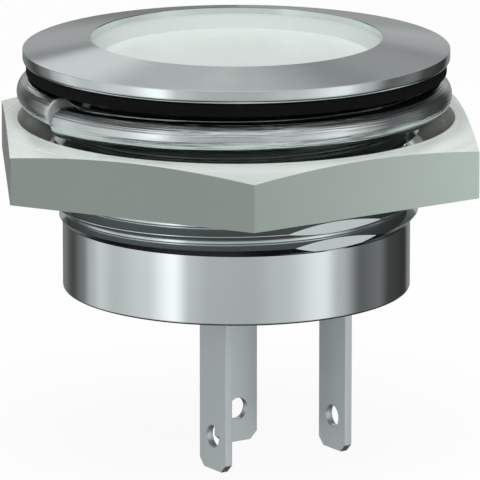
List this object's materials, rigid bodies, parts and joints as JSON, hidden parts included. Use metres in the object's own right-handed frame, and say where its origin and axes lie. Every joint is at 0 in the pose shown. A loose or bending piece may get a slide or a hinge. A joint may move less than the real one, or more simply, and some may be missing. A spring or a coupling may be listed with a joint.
{
  "type": "panel pilot light",
  "caption": "Round metal pilot light for a panel: milky lens in a conical bezel, threaded barrel, seal, spring ring, hex nut and flat solder tabs.",
  "frame": {"origin": "on the axis, in the plane of the flange's underside that seats on the panel's front", "axes": "+Z along the axis out of the panel, towards the lens; -Y through the barrel's flat"},
  "size_m": [0.0322, 0.0278, 0.0253],
  "materials": {
    "polished_steel": "turned and polished stainless steel, mirror-like with faint lathe marks",
    "spring_steel": "bright drawn spring wire",
    "nickel_plate": "satin nickel plate with a faint warm green cast",
    "seal_rubber": "matt black rubber",
    "milky_lens": "milky translucent plastic, smooth",
    "white_plastic": "white reflecting plastic",
    "board_laminate": "green lacquered glass-fibre board",
    "black_plastic": "moulded black plastic",
    "sealing_resin": "poured black resin, glossy",
    "led_package": "white package with a yellow window",
    "chip_ceramic": "tan ceramic chip",
    "chip_resistor": "black glazed ceramic chip",
    "tinned_brass": "tin-plated brass strip",
    "solder": "bright solder"
  },
  "bodies": {
    "lamp": {"housing": "polished_steel", "panel_seal": "seal_rubber", "lens": "milky_lens", "lens_seal": "seal_rubber", "light_cup": "white_plastic", "led_board": "board_laminate", "led_1": "led_package", "led_2": "led_package", "led_3": "led_package", "led_4": "led_package", "board_spacer": "black_plastic", "driver_board": "board_laminate", "link_pin_1": "tinned_brass", "link_pin_2": "tinned_brass", "link_pin_3": "tinned_brass", "dropper_resistor_1": "chip_resistor", "dropper_resistor_2": "chip_resistor", "blocking_diode_1": "black_plastic", "blocking_diode_2": "black_plastic", "bypass_capacitor": "chip_ceramic", "terminal_base": "black_plastic", "rear_resin": "sealing_resin", "terminal_1": "tinned_brass", "terminal_2": "tinned_brass", "terminal_3": "tinned_brass", "terminal_solder_1": "solder", "terminal_solder_2": "solder", "terminal_solder_3": "solder"},
    "ring": {"spring_ring": "spring_steel"},
    "nut": {"hex_nut": "nickel_plate"}
  },
  "joints": [
    {"name": "nut_travel", "type": "slide", "parent": "lamp", "child": "ring", "axis": [0, 0, -1], "range_m": [0, 0.003]},
    {"name": "nut_turn", "type": "hinge", "parent": "ring", "child": "nut", "pos_m": [0, 0, 0], "axis": [0, 0, -1], "range_deg": [0, 1080]}
  ],
  "couplings": [
    {"joint": "nut_turn", "follows": "nut_travel", "rad_per_m": 6283.2}
  ]
}
